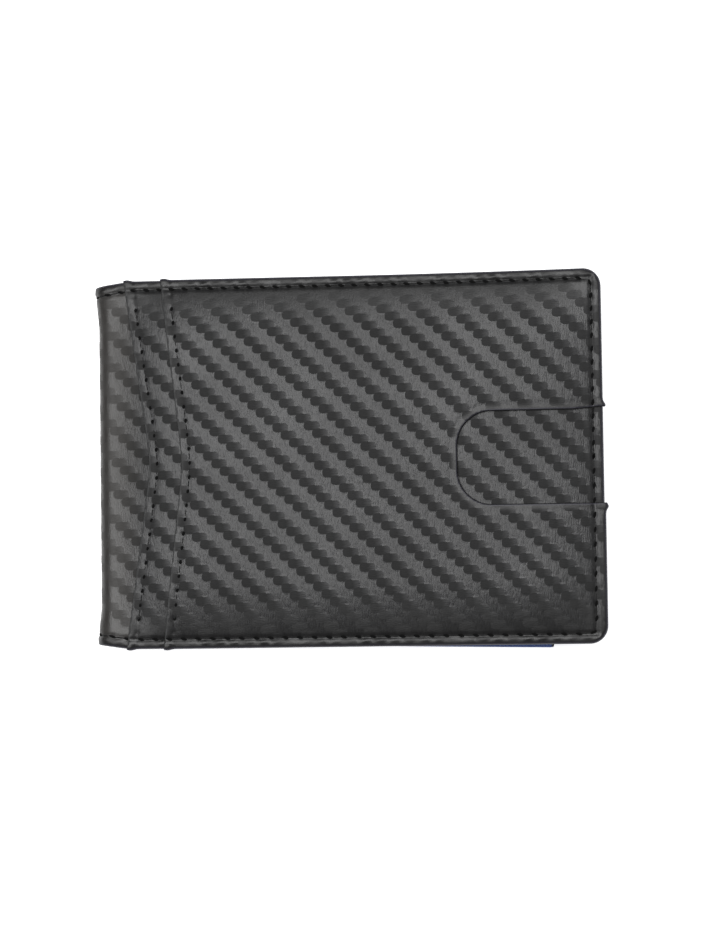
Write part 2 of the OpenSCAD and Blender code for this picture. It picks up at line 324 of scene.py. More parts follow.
def seam_run(x, y, pitch):
    """Position along the edge seam, counted in stitches, so that every whole number is a needle hole."""
    on_end = half_l - x < half_w - np.abs(y)
    s = np.where(on_end, seam_l - np.abs(y), x - seam_start)
    return s * round(seam_l / pitch) / seam_l


def wander(s):
    """Slow unevenness between 0 and 1."""
    return 0.5 + 0.25 * np.sin(1.7 * s + 0.4) + 0.25 * np.sin(0.61 * s + 2.1)


def narrowing(x):
    """How much the cover draws in towards the spine, and its seam a little more."""
    return narrow_by * ease((narrow_from - x) / narrow_run)


def seam_relief(x, y, inside):
    """Groove, dimples and swelling along the outer seam."""
    s = np.where(y > 0, seam_run(x, y, stitch_pitch), seam_run(x, y, long_pitch))
    at_hole = np.clip(np.cos(2 * math.pi * s), 0, 1) ** 2
    between = 0.5 - 0.5 * np.cos(2 * math.pi * s)
    groove = (0.18 + 0.14 * at_hole) * bell((inside - seam_inset) / groove_w)
    strength = np.where(half_l - x < half_w - np.abs(y), 0.1, 0.3)
    ridge = (0.02 + strength * between * wander(s)) * bell((inside - ridge_inset) / ridge_w)
    return (ridge - groove) * mm


def mouth_relief(y, beside):
    """Groove and dimples along a mouth's seam, and a soft roll along the turned edge."""
    s = y / mouth_pitch
    at_hole = np.clip(np.cos(2 * math.pi * s), 0, 1) ** 2
    groove = (0.09 + 0.16 * at_hole) * bell((beside - mouth_inset) / (0.4 * mm))
    return (0.03 * bell((beside - 0.6 * mm) / (0.4 * mm)) - groove) * mm


# %% [markdown]
# ## The outer pocket panels
# Two panels lie on the front cover. Each is sewn along three sides and open towards the spine, with a bowed
# mouth. A card goes in there, and the thumb pushes it out again through the U-shaped notch of the upper one.
# Both are cut from the same embossed leather; near mouths and seams the stamping is pressed flat and the
# colour is darkened there as painted shade. Along a mouth the turned edge carries a painted highlight.

# %% Pocket panels
fine = 0.36 * mm


def side_swell(x, reach):
    """The turned edge is thicker at the two ends of a mouth and makes a small lump there."""
    return 0.3 * mm * bell((x - reach - 0.8 * mm) / (1.0 * mm))


lower_inset = 0.05 * mm


def lower_sides(x, y):
    return free_outline(x, y, wide=half_w - lower_inset + side_swell(x, lower_mouth["reach"]))


def upper_sides(x, y):
    tip = 0.6 * mm * bell((np.abs(y) - notch_w / 2 - 0.8 * mm) / (0.8 * mm)) + 0.3 * mm * (y < 0)
    return free_outline(x, y, right=half_l + tip, wide=half_w + side_swell(x, upper_mouth["reach"]))


def lower_outline(x, y):
    return np.maximum(lower_sides(x, y), mouth_x(y, **lower_mouth) - x)


def upper_outline(x, y):
    return np.maximum(np.maximum(upper_sides(x, y), mouth_x(y, **upper_mouth) - x), -notch_outline(x, y))


def side_pressing_and_shade(x, y):
    """The stamping fades far inside the long edges, which were pressed hard, and hardly at the free edge. The
    same mask darkens the colour along the edges as painted shade.
    """
    from_side = ease((half_w - seam_inset - np.abs(y)) / (10 * mm))
    from_free = ease((half_l - seam_inset - x) / (2 * mm))
    return np.maximum(0.92 * (1 - from_side), 0.35 * (1 - from_free))


def shape_panel(piece, sides, mouth, base, with_notch):
    """Turns the flat slab into the pillowed, stamped and rounded panel."""
    x, y, z = places(piece.data)
    top = z > pocket_t / 2
    inside, beside = -sides(x, y), x - mouth_x(y, **mouth)
    # This mask flattens the stamping near seams and mouths, and also darkens the colour there as painted
    # shade.
    pressed_and_shaded = np.maximum(side_pressing_and_shade(x, y), 0.3 * (1 - ease((beside - 0.4 * mm) / (1.6 * mm))))
    drop = np.maximum(edge_drop(inside, outer_r), edge_drop(beside, mouth_r))
    paint = 1 - np.clip(inside / outer_r, 0, 1)
    relief = seam_relief(x, y, np.minimum(half_l - x, half_w - np.abs(y))) + mouth_relief(y, beside)
    if with_notch:
        past = notch_outline(x, y)
        # Round the notch the leather is pressed flat, and the same band is darkened as painted shadow along
        # the notch.
        pressed_and_shaded = np.maximum(pressed_and_shaded, 0.95 * (1 - ease((past - 0.7 * mm) / (1.1 * mm))))
        drop = np.maximum(drop, edge_drop(past, mouth_r))
        # Round the notch the rim value goes past 1, which the material turns black: edge paint, and also
        # painted shadow along the notch.
        paint = np.maximum(paint, 2 - 2 * np.clip(past / (0.4 * mm), 0, 1))
        relief = relief - 0.06 * mm * bell((past - 1.6 * mm) / (0.4 * mm))
    relief = relief + (1 - pressed_and_shaded) * twill(x, y) - drop
    put_places(piece.data, x, widened(x, y), base + z + np.where(top, crown(x, y) + relief, 0))
    add_uv(piece.data, *weave_uv(x, y))
    add_layer(piece.data, "rim", np.where(top | (beside < fine), paint, 1))
    add_layer(piece.data, "pressed_and_shaded", pressed_and_shaded)
    # A painted highlight along each mouth's turned edge, lightest just beside the edge.
    add_layer(piece.data, "mouth_edge_highlight", bell((beside - 0.22 * mm) / (0.17 * mm)) * ease(inside / (2 * mm)))


def pocket_panel(name, outline, sides, mouth, base, with_notch):
    low = (mouth["reach"] - fine, -half_w - 2 * fine)
    high = (half_l + 3 * fine, half_w + 2 * fine)
    piece = finish_mesh(slab(trimmed_grid(outline, low, high, fine), pocket_t), name)
    shape_panel(piece, sides, mouth, base, with_notch)
    print(f"{name}: {len(piece.data.polygons)} faces")
    return piece


lower_z, upper_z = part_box("pocket_lower")[0].z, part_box("pocket_upper")[0].z
lower_panel = pocket_panel("lower_pocket_panel", lower_outline, lower_sides, lower_mouth, lower_z, False)
upper_panel = pocket_panel("upper_pocket_panel", upper_outline, upper_sides, upper_mouth, upper_z, True)

# %% [markdown]
# ## The shell
# One piece of leather makes the back cover, the spine and the front cover. It opens at two fold lines, so
# it is built as two halves that meet in the middle of the spine, where neither fold bends it. Each half is
# made flat, stamped flat, and only then bent over the spine, as the real one is.

# %% Bend over the spine
shell_step = 0.45 * mm
arc_l = spine_r * math.pi / 2
shell_start = bend_end - arc_l - (shell_top - spine_r - middle_z)
spine_flare, flare_l = 0.9 * mm, 11 * mm


def bend_over_spine(x, y, height):
    """Place of a point that stands height above the flat shell's face, bent over the spine's upper half."""
    run = np.maximum(bend_end - x, 0)
    turn = np.minimum(run / spine_r, math.pi / 2)
    down = np.maximum(run - arc_l, 0)
    r = spine_r + height
    flare = spine_flare * ease((np.abs(y) - half_w + flare_l) / flare_l) * np.sin(turn)
    new_x = np.where(run > 0, bend_end - r * np.sin(turn), x) - flare
    return new_x, shell_top - spine_r + r * np.cos(turn) - down


# %% Shell halves
shell_inset = 0.05 * mm
back_sink = 0.3 * mm
spine_tone_from, spine_tone_run = bend_end + 9 * mm, 8 * mm


def shell_sides(x, y):
    """The shell is cut a little narrower than the panels, most of all at the spine."""
    return free_outline(x, y, wide=half_w - shell_inset - narrowing(x))


def shell_outline(x, y):
    return np.maximum(shell_sides(x, y), shell_start - x)


def shell_half(name, front):
    low, high = (shell_start, -half_w - shell_step), (half_l + shell_step, half_w + shell_step)
    bm = slab(trimmed_grid(shell_outline, low, high, shell_step), shell_t, plain_back=False)
    piece = finish_mesh(bm, name)
    x, y, z = places(piece.data)
    top = z > shell_t / 2
    inside = -shell_sides(x, y)
    # Near the spine the stamping is pressed flat and the colour darkened as painted shade.
    pressed_and_shaded = np.maximum(side_pressing_and_shade(x, y), 0.6 * ease((bend_end + 5 * mm - x) / (5 * mm)))
    flat_x = x if front else 2 * shell_start - x
    from_line = inside + shell_inset - (seam_narrows - 1) * narrowing(x)
    lift = (1 - pressed_and_shaded) * twill(flat_x, y) + seam_relief(x, y, from_line) - edge_drop(inside, outer_r)
    lift -= 0 if front else back_sink
    new_x, new_z = bend_over_spine(x, y, np.where(top, lift, -shell_t))
    raised = crown(new_x, y) * (x > bend_end)
    put_places(piece.data, new_x, widened(new_x, y), new_z + raised if front else shell_top - new_z)
    if not front:
        piece.data.flip_normals()
    add_uv(piece.data, *weave_uv(flat_x, y))
    add_layer(piece.data, "rim", np.where(top, 1 - np.clip(inside / outer_r, 0, 1), 0.8))
    add_layer(piece.data, "pressed_and_shaded", pressed_and_shaded)
    add_layer(piece.data, "spine_tone", ease((spine_tone_from - x) / spine_tone_run) * ease(inside / (4 * mm)))
    print(f"{name}: {len(piece.data.polygons)} faces")
    return piece


shell_upper = shell_half("shell_front_half", True)
shell_lower = shell_half("shell_back_half", False)

# %% [markdown]
# ## Thread
# The seams are lock stitches in black waxed thread. Between two needle holes a stitch lies on the leather as
# a short arch, and at each hole the two threads dive down. The shade inside each hole is painted: a flat
# near-black disc sits there. A stitch is one round ball stretched to a bar with sunk ends, and it is repeated
# along each seam.

# %% Seam runs
hole_turn = math.radians(-12)
edge_hole, mouth_hole = (1.5 * mm, 0.6 * mm), (1.0 * mm, 0.68 * mm)
hole_shade_r = 0.09 * mm
thread_r = 0.2 * mm
dive = 0.25 * mm


def edge_holes(side_sign, pitch):
    """Needle holes from the spine to the middle of the free edge, on one long side."""
    count = round(seam_l / pitch)
    holes = []
    for i in range(count + 1):
        s = seam_l * i / count
        if s <= side_l:
            x, y = seam_start + s, half_w - seam_inset - seam_narrows * float(narrowing(seam_start + s))
        elif s <= side_l + round_l:
            a = (s - side_l) / seam_r
            x, y = half_l - corner_r + seam_r * math.sin(a), half_w - corner_r + seam_r * math.cos(a)
        else:
            x, y = half_l - seam_inset, half_w - corner_r - (s - side_l - round_l)
        holes.append((x, side_sign * y))
    return holes


def mouth_holes(mouth):
    count = math.floor((half_w - seam_inset - 1.5 * mm) / mouth_pitch)
    ys = [i * mouth_pitch for i in range(-count, count + 1)]
    return [(float(mouth_x(y, **mouth)) + mouth_inset, y) for y in ys]


def outer_lift(x, y):
    """Height of the front wing's outer face above the shell, without stamping and seam groove."""
    x, y = np.asarray(x, float), np.asarray(y, float)
    on_lower = x > mouth_x(y, **lower_mouth)
    on_upper = (x > mouth_x(y, **upper_mouth)) & (notch_outline(x, y) > 0)
    return pocket_t * (on_lower.astype(float) + on_upper) + crown(x, y)


def ball(bm, size, place):
    """A small ball, stretched to size and put at place."""
    made = bmesh.ops.create_uvsphere(bm, u_segments=8, v_segments=6, radius=1)["verts"]
    bmesh.ops.transform(bm, verts=made, matrix=place @ Matrix.Diagonal((*size, 1)))
    return made


def thread_run(name, runs, lift, sink, to_place, lying=False, hole=edge_hole):
    """One arch from each hole to the next and a near-black disc of painted hole shade at each hole, made flat
    and then put in place.
    """
    bm = bmesh.new()
    for holes in runs:
        for (ax, ay), (bx, by) in zip(holes, holes[1:]):
            length = math.hypot(bx - ax, by - ay)
            rise = float(lift(bx, by) - lift(ax, ay))
            turn = Matrix.Rotation(math.atan2(by - ay, bx - ax), 4, "Z")
            made = ball(bm, (0.45 * length, thread_r, 0.8 * thread_r), Matrix.Identity(4))
            for v in made:
                t = v.co.x / length
                v.co.z += float(lift(ax, ay)) + rise * (t + 0.5) - dive * (2 * t) ** 4 - sink
            middle = Matrix.Translation(((ax + bx) / 2, (ay + by) / 2, 0))
            bmesh.ops.transform(bm, verts=made, matrix=middle @ turn)
    thread_count = len(bm.verts)
    for holes in runs:
        for (ax, ay), (x, y), (bx, by) in zip(holes[:1] + holes, holes, holes[1:] + holes[-1:]):
            turn = Matrix.Rotation(math.atan2(by - ay, bx - ax) + hole_turn, 4, "Z")
            place = Matrix.Translation((x, y, float(lift(x, y)) - sink / 2 + 0.03 * mm)) @ turn
            # A flat near-black disc at each hole: painted shade inside the needle hole.
            ball(bm, (hole[0] / 2, hole[1] / 2, hole_shade_r), place)
    piece = finish_mesh(bm, name)
    put_places(piece.data, *to_place(*places(piece.data)))
    if lying:
        piece.data.flip_normals()
    add_layer(piece.data, "hole_shade", np.arange(len(piece.data.vertices)) >= thread_count)
    print(f"{name}: {sum(len(holes) for holes in runs)} holes")
    return piece


def flat_back(x, y):
    """The back cover has no pockets, so nothing lifts its seam."""
    return 0 * x


def to_front(x, y, h):
    new_x, new_z = bend_over_spine(x, y, h)
    return new_x, widened(new_x, y), np.where(x > bend_end, shell_top + h, new_z)


def to_back(x, y, h):
    new_x, new_z = bend_over_spine(x, y, h)
    return new_x, widened(new_x, y), np.where(x > bend_end, -h, shell_top - new_z)


def split_at(holes, x):
    """The seam's part on the spine, and its part on the cover."""
    cut = next(i for i, hole in enumerate(holes) if hole[0] > x)
    return holes[:cut + 1], holes[cut:]


fold_edge = bend_end + 1.2 * mm
upper_runs = [edge_holes(1, stitch_pitch), edge_holes(-1, long_pitch)]
spine_runs, cover_runs = zip(*[split_at(holes, fold_edge) for holes in upper_runs])
groove_d = 0.2 * mm
front_seam = thread_run("front_edge_seam", cover_runs, outer_lift, groove_d, to_front)
front_spine_seam = thread_run("front_spine_seam", spine_runs, outer_lift, groove_d, to_front)
back_d = groove_d + back_sink
back_seam = thread_run("back_edge_seam", cover_runs, flat_back, back_d, to_back, True)
back_spine_seam = thread_run("back_spine_seam", spine_runs, flat_back, back_d, to_back, True)
lower_seam, upper_seam = (
    thread_run(name, [mouth_holes(mouth)], outer_lift, 0.14 * mm, to_front, hole=mouth_hole)
    for name, mouth in (("lower_mouth_seam", lower_mouth), ("upper_mouth_seam", upper_mouth))
)

# %% [markdown]
# ## The blue lining
# A thin woven lining covers the inside of both covers and of the spine. It crosses the same two fold lines
# as the shell, so it is cut in two halves that meet in the middle of the spine. A cloth simulation has
# nothing to do here, because the lining is glued flat; it is bent over the spine just as the shell is, and
# only a faint pucker shows where the glue holds it unevenly.

# %% Lining halves
lining_low, lining_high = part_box("lining_back")
lining_t = lining_high.z - lining_low.z
lining_r = 1.5 * mm
lining_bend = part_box("lining_spine")[1].x + lining_r
lining_arc = (lining_r + lining_t) * math.pi / 2
lining_start = lining_bend - lining_arc - (middle_z - lining_high.z - lining_r)
lining_step = 0.9 * mm
lining_margin, lining_corner = 0.4 * mm, 3 * mm


def lining_outline(x, y):
    wide = np.abs(y) + lining_margin + seam_narrows * narrowing(x)
    past_x, past_y = x - lining_high.x + lining_corner, wide - lining_high.y + lining_corner
    return np.maximum(round_corner(past_x, past_y, lining_corner), lining_start - x)


def lining_half(name, front):
    low = (lining_start, -lining_high.y - lining_step)
    high = (lining_high.x + lining_step, lining_high.y + lining_step)
    bm = slab(trimmed_grid(lining_outline, low, high, lining_step), lining_t, 0.12 * mm, plain_back=False)
    piece = finish_mesh(bm, name)
    x, y, z = places(piece.data)
    inside = -lining_outline(x, y)
    pucker = 0.05 * mm * np.sin(x / (2.1 * mm)) * np.sin(y / (3.3 * mm) + 1) * ease(inside / (6 * mm))
    depth = lining_t - z + np.where(z > lining_t / 2, edge_drop(inside, 0.2 * mm) + pucker, 0)
    run = np.maximum(lining_bend - x, 0)
    turn = np.minimum(run / (lining_r + lining_t), math.pi / 2)
    down = np.maximum(run - lining_arc, 0)
    r = lining_r + depth
    new_x = np.where(run > 0, lining_bend - r * np.sin(turn), x)
    new_z = lining_high.z + lining_r - r * np.cos(turn) + down
    new_z = np.where(run > 0, new_z, lining_high.z - depth)
    put_places(piece.data, new_x, y, shell_top - new_z if front else new_z)
    if front:
        piece.data.flip_normals()
    add_uv(piece.data, x / mm, y / mm)
    print(f"{name}: cut {(lining_high.x - lining_start) / mm:.1f} by {2 * lining_high.y / mm:.1f} mm")
    return piece


lining_lower = lining_half("lining_back_half", False)
lining_upper = lining_half("lining_front_half", True)

# %% [markdown]
# ## Card slots and identity window
# The card slots are flat panels of smooth blue leather, one on top of the other like stairs. Each mouth is
# turned under, with a pressed crease line beside it. The identity frame has a window with a clear film
# behind it; its short end is painted black, and it was sewn in slightly askew. So it is made square at the
# origin first and then turned about its lower outer corner.

# %% Inner leather panels
slot_step = 0.8 * mm
slot_r, frame_r = 2 * mm, 0.5 * mm
crease_inset = 2.6 * mm
askew = math.radians(1.1)
frame_w = 12 * mm
inner_round = 0.25 * mm
face_gap = 0.04 * mm
crease_d, crease_w = 0.12 * mm, 0.6 * mm


def inner_panel(name, low, high, face_up, window=False, place=Matrix.Identity(4)):
    """A smooth panel from low to high, with a turned mouth and a crease line, moved by place."""
    t = high.z - low.z
    hole_low, hole_high = low + Vector((frame_w, frame_w, 0)), high - Vector((frame_w, frame_w, 0))

    def outline(x, y):
        d = box_outline(x, y, low, high, frame_r if window else slot_r)
        return np.maximum(d, -box_outline(x, y, hole_low, hole_high, slot_r)) if window else d

    piece = finish_mesh(slab(trimmed_grid(outline, low, high, slot_step), t, 0.15 * mm), name)
    x, y, z = places(piece.data)
    inside = -outline(x, y)
    crease = crease_d * bell(((inside if window else high.y - y) - crease_inset) / crease_w)
    z = z - np.where(z > t / 2, crease + edge_drop(inside, inner_round) + face_gap, 0)
    put_places(piece.data, x, y, low.z + z if face_up else high.z - z)
    if not face_up:
        piece.data.flip_normals()
    end_paint = 1 - np.clip((high.x - x) / (0.8 * mm), 0, 1)
    add_layer(piece.data, "rim", end_paint if window else 0 * x)
    add_layer(piece.data, "crease", crease / crease_d)
    piece.data.transform(place)
    print(f"{name}: {(high.x - low.x) / mm:.0f} by {(high.y - low.y) / mm:.0f} mm")
    return piece


back_slots = [inner_panel(f"card_slot_{i}", *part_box(f"slot_back_{i}"), True) for i in (1, 2, 3)]
front_slots = [inner_panel(f"front_card_slot_{i}", *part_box(f"slot_front_{i}"), False) for i in (1, 2)]

box_low, box_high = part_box("id_frame")
span = np.linalg.solve(
    [[math.cos(askew), math.sin(askew)], [math.sin(askew), math.cos(askew)]],
    [box_high.x - box_low.x, box_high.y - box_low.y],
)
corner = Vector((box_high.x - float(span[1]) * math.sin(askew), box_low.y, 0))
frame_low, frame_high = Vector((-float(span[0]), 0, box_low.z)), Vector((0, float(span[1]), box_high.z))
turned = Matrix.Translation(corner) @ Matrix.Rotation(-askew, 4, "Z")
id_frame = inner_panel("identity_frame", frame_low, frame_high, False, True, turned)

# %% [markdown]
# The edge seam goes through all layers, so it shows on the inside too. There it runs over the lining and
# climbs on to every panel that it holds. The window has a seam of its own.

# %% Inner seams
lining_face = lining_high.z
slot_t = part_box("slot_back_1")[1].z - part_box("slot_back_1")[0].z


def covered(x, y, low, high):
    return float(low.x < x < high.x and low.y < y < high.y)


def inner_back_lift(x, y):
    return slot_t * sum(covered(x, y, *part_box(f"slot_back_{i}")) for i in (1, 2, 3))


def frame_lift(x, y):
    """The frame's face above the front lining."""
    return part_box("lining_front")[0].z - box_low.z


def inner_front_lift(x, y):
    if covered(x, y, box_low, box_high):
        return frame_lift(x, y)
    return slot_t * sum(covered(x, y, *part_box(f"slot_front_{i}")) for i in (1, 2))


def on_back_lining(x, y, h):
    return x, y, lining_face + h


def on_front_lining(x, y, h):
    return x, y, shell_top - lining_face - h


def window_holes(inset):
    """Needle holes around the window, as the corners of a turned rectangle joined by even steps."""
    low = frame_low + Vector((frame_w - inset, frame_w - inset, 0))
    high = frame_high - Vector((frame_w - inset, frame_w - inset, 0))
    corners = [(low.x, low.y), (high.x, low.y), (high.x, high.y), (low.x, high.y), (low.x, low.y)]
    holes = []
    for (ax, ay), (bx, by) in zip(corners, corners[1:]):
        count = round(math.hypot(bx - ax, by - ay) / stitch_pitch)
        for i in range(count):
            spot = turned @ Vector((ax + (bx - ax) * i / count, ay + (by - ay) * i / count, 0))
            holes.append((spot.x, spot.y))
    return holes + holes[:1]


seam_stop = lining_bend + 1 * mm
inner_runs = [[hole for hole in run if hole[0] > seam_stop] for run in upper_runs]
back_inner_seam = thread_run("back_inner_seam", inner_runs, inner_back_lift, 0, on_back_lining)
front_inner_seam = thread_run("front_inner_seam", inner_runs, inner_front_lift, 0, on_front_lining, True)
window_run = window_holes(1.6 * mm)
window_seam = thread_run("window_seam", [window_run], frame_lift, 0.02 * mm, on_front_lining, True)

# %% [markdown]
# ## The clip's spring
# The torsion spring is a steel wire wound on the pin. One leg lies on the lining, and the other hooks over
# the arm and presses it down. It is one small circle, spun along the pin while it moves sideways, and then
# drawn out at both ends.

# %% Torsion spring
wire_r = 0.22 * mm
pin_low, pin_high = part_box("clip_pin")
pin_x, pin_z = (pin_low.x + pin_high.x) / 2, (pin_low.z + pin_high.z) / 2
coil_r = (pin_high.z - pin_low.z) / 2 + 0.15 * mm + wire_r
coil_turns, coil_pitch, turn_steps = 10.75, 0.5 * mm, 24
foot_l, hook_l = 2.8 * mm, 2.6 * mm
coil_start = -5.5 * coil_pitch
hook_r = 0.35 * mm
hook_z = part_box("clip_arm")[0].z + 0.7 * mm + wire_r


def drawn(bm, edges, offset):
    """Extrudes a ring of edges by offset and returns the new ring."""
    made = bmesh.ops.extrude_edge_only(bm, edges=edges)["geom"]
    verts = [g for g in made if isinstance(g, bmesh.types.BMVert)]
    bmesh.ops.translate(bm, verts=verts, vec=offset)
    return [g for g in made if isinstance(g, bmesh.types.BMEdge) and all(v in verts for v in g.verts)]


def torsion_spring():
    bm = bmesh.new()
    start = Vector((pin_x, coil_start, pin_z - coil_r))
    ring = Matrix.Translation(start) @ Matrix.Rotation(math.pi / 2, 4, "Y")
    bmesh.ops.create_circle(bm, segments=8, radius=wire_r, matrix=ring)
    first = bm.edges[:]
    steps = round(coil_turns * turn_steps)
    last = bmesh.ops.spin(
        bm, geom=first, cent=(pin_x, 0, pin_z), axis=(0, -1, 0), angle=2 * math.pi * coil_turns,
        dvec=(0, coil_pitch / turn_steps, 0), steps=steps, use_duplicate=False,
    )["geom_last"]
    top = [g for g in last if isinstance(g, bmesh.types.BMEdge)]
    top = drawn(bm, top, (0, 0, hook_z - hook_r - pin_z))
    centre = (pin_x + coil_r + hook_r, 0, hook_z - hook_r)
    bend = bmesh.ops.spin(
        bm, geom=top, cent=centre, axis=(0, 1, 0), angle=math.pi / 2, steps=6, use_duplicate=False
    )["geom_last"]
    top = [g for g in bend if isinstance(g, bmesh.types.BMEdge)]
    top = drawn(bm, top, (hook_l, 0, 0))
    bottom = drawn(bm, first, (-foot_l, 0, 0))
    bmesh.ops.contextual_create(bm, geom=top)
    bmesh.ops.contextual_create(bm, geom=bottom)
    bmesh.ops.recalc_face_normals(bm, faces=bm.faces[:])
    return finish_mesh(bm, "torsion_spring")


spring = torsion_spring()
print(f"spring: {coil_turns} turns of {2 * wire_r / mm:.2f} mm wire, {len(spring.data.polygons)} faces")

# %% [markdown]
# ## Materials
# Leather this dark is seen mostly by what it reflects, so its look is set by roughness and relief more than
# by colour. Every material is made of nodes, and reads either the piece's UV map or Object coordinates.

# %% Node helpers
class Nodes:
    """A small writer for node trees."""

    def __init__(self, name):
        self.material = bpy.data.materials.new(name)
        self.material.use_nodes = True
        self.tree = self.material.node_tree
        self.shader = self.tree.nodes["Principled BSDF"]

    def add(self, kind, inputs=None, **settings):
        node = self.tree.nodes.new("ShaderNode" + kind)
        for key, value in settings.items():
            setattr(node, key, value)
        for key, value in (inputs or {}).items():
            self.feed(node.inputs[key], value)
        return node

    def feed(self, socket, value):
        if isinstance(value, bpy.types.NodeSocket):
            self.tree.links.new(value, socket)
        else:
            socket.default_value = value

    def math(self, operation, a, b=0.0, c=0.0, clamp=False):
        node = self.add("Math", {0: a, 1: b, 2: c}, operation=operation, use_clamp=clamp)
        return node.outputs[0]

    def plus(self, a, b):
        return self.math("ADD", a, b)

    def minus(self, a, b, clamp=False):
        return self.math("SUBTRACT", a, b, clamp=clamp)

    def times(self, a, b):
        return self.math("MULTIPLY", a, b)

    def scaled(self, a, b, c):
        """a times b, plus c."""
        return self.math("MULTIPLY_ADD", a, b, c)

    def mix(self, share, a, b):
        return self.add("Mix", {0: share, 6: a, 7: b}, data_type="RGBA").outputs[2]

    def blend(self, share, a, b):
        return self.add("Mix", {0: share, 2: a, 3: b}, data_type="FLOAT").outputs[0]

    def layer(self, name):
        return self.add("Attribute", attribute_name=name).outputs["Fac"]

    def uv(self):
        where = self.add("UVMap", uv_map="UVMap").outputs[0]
        return self.add("SeparateXYZ", {0: where}).outputs[:2]

    def join(self, x, y):
        return self.add("CombineXYZ", {0: x, 1: y}).outputs[0]

    def place(self, scale=(1, 1, 1), turn=(0, 0, 0)):
        where = self.add("TexCoord").outputs["Object"]
        return self.add("Mapping", {0: where, 2: turn, 3: scale}).outputs[0]

    def noise(self, vector, scale, detail=3.0, rough=0.5):
        inputs = {"Vector": vector, "Scale": scale, "Detail": detail, "Roughness": rough}
        return self.add("TexNoise", inputs).outputs[0]

    def band(self, value, low, high, to_low=0.0, to_high=1.0):
        inputs = {0: value, 1: low, 2: high, 3: to_low, 4: to_high}
        return self.add("MapRange", inputs, clamp=True).outputs[0]

    def bump(self, height, distance, strength=1.0, normal=None):
        node = self.add("Bump", {"Height": height, "Distance": distance, "Strength": strength})
        if normal is not None:
            self.feed(node.inputs["Normal"], normal)
        return node.outputs[0]

    def surface(self, **values):
        for key, value in values.items():
            self.feed(self.shader.inputs[key.replace("_", " ")], value)
        return self.material


def grey(value, tint=(1, 1, 1)):
    return (value * tint[0], value * tint[1], value * tint[2], 1)


# %% [markdown]
# ### Embossed leather
# The lattice decides for every point whether an upright or a lying tow shows. Upright tows are a shade
# lighter and smoother, so they mirror the light; lying ones are darker and duller, most of all at their left
# end. Fine fibre lines follow each tow's own direction. The painted rim is dark with a faint violet cast;
# round the notch it is black, which is edge paint and also painted shadow along the notch. Where the stamping
# is pressed flat, near seams, mouths, notch and spine, the colour is darkened as painted shade, and along the
# pocket mouths' turned edges a painted highlight is laid. Towards the spine the leather turns a lighter, warm
# grey.

# %% Embossed leather material
def bead_share(n, along, across):
    """How far inside one lying tow a point is, by the same rule as the relief."""
    left = n.math("POWER", n.math("MAXIMUM", n.times(along, -1.0), 0.0), left_power)
    right = n.times(n.math("POWER", n.math("MAXIMUM", along, 0.0), right_power), right_share)
    tall = n.math("POWER", n.math("ABSOLUTE", n.math("DIVIDE", across, bead_tall)), tall_power)
    return n.minus(1.0, n.plus(n.plus(left, right), tall))


cool = (1, 1, 1.04)


